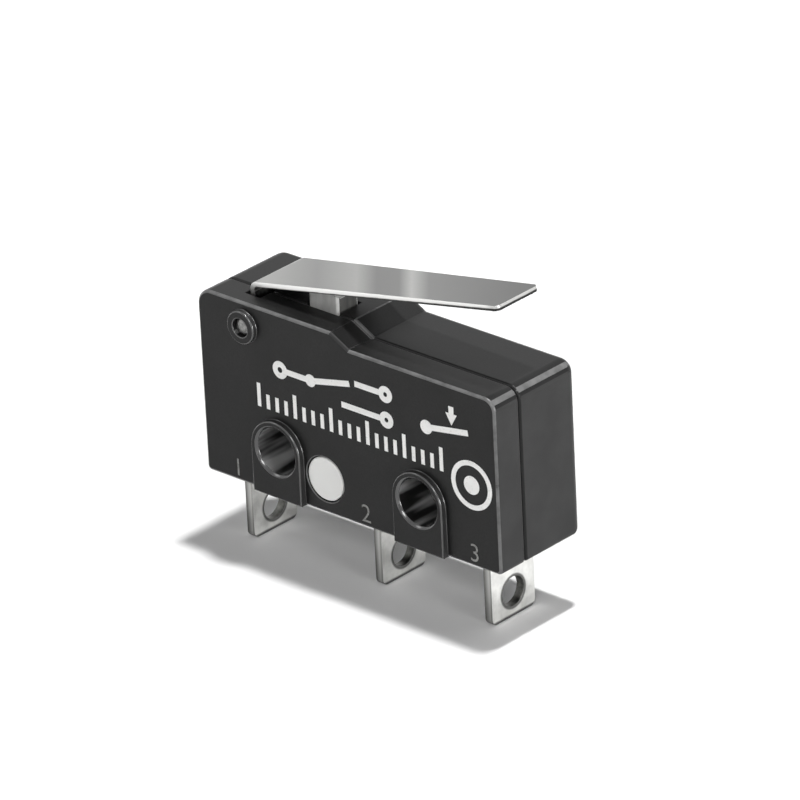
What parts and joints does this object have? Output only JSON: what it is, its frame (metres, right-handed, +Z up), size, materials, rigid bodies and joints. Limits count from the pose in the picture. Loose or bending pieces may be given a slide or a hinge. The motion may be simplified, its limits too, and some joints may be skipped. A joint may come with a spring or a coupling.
{
  "type": "lever micro switch",
  "caption": "Small snap switch in a flat black housing with a hinged sheet lever over a plunger, mounting holes with raised pads, and blade terminals below.",
  "frame": {"origin": "under the middle of the housing, level with the tips of the terminals", "axes": "+X along the housing from the hinge end to the far end, -Y is the cover side with the raised pads, +Z up from the terminals to the lever"},
  "size_m": [0.0198, 0.0064, 0.0179],
  "materials": {
    "housing_plastic": "moulded black thermoset or PBT, fine satin",
    "marker_plastic": "plain light grey plastic",
    "pin_steel": "drawn steel pin",
    "lever_steel": "rolled stainless spring sheet",
    "plunger_plastic": "moulded grey plastic",
    "terminal_plate": "stamped brass, silver plated",
    "contact_silver": "silver faced copper rivet",
    "spring_copper": "beryllium copper spring strip"
  },
  "bodies": {
    "housing": {"case": "housing_plastic", "cover": "housing_plastic", "marker_disc": "marker_plastic", "hinge_pin": "pin_steel", "common_terminal": "terminal_plate", "open_terminal": "terminal_plate", "closed_terminal": "terminal_plate", "open_contact": "contact_silver", "closed_contact": "contact_silver"},
    "lever": {"hinge_lever": "lever_steel"},
    "button": {"plunger": "plunger_plastic"},
    "changeover": {"moving_contact": "contact_silver", "snap_blade": "spring_copper"}
  },
  "joints": [
    {"name": "lever_hinge", "type": "hinge", "parent": "housing", "child": "lever", "pos_m": [-0.00675, 0, 0.0128], "axis": [0, 1, 0], "range_deg": [0, 12.5], "stiffness_Nm_per_rad": 0.02, "springref_deg": -5.73},
    {"name": "plunger_slide", "type": "slide", "parent": "housing", "child": "button", "axis": [0, 0, -1], "range_m": [0, 0.00083]},
    {"name": "contact_swing", "type": "hinge", "parent": "housing", "child": "changeover", "pos_m": [-0.0072, 0, 0.01001], "axis": [0, 1, 0], "range_deg": [0, 2.2], "deforming": ["snap_blade"]}
  ],
  "couplings": [
    {"joint": "plunger_slide", "follows": "lever_hinge", "m_per_rad": 0.003727},
    {"joint": "contact_swing", "follows": "lever_hinge", "ratio": 0.1664}
  ]
}
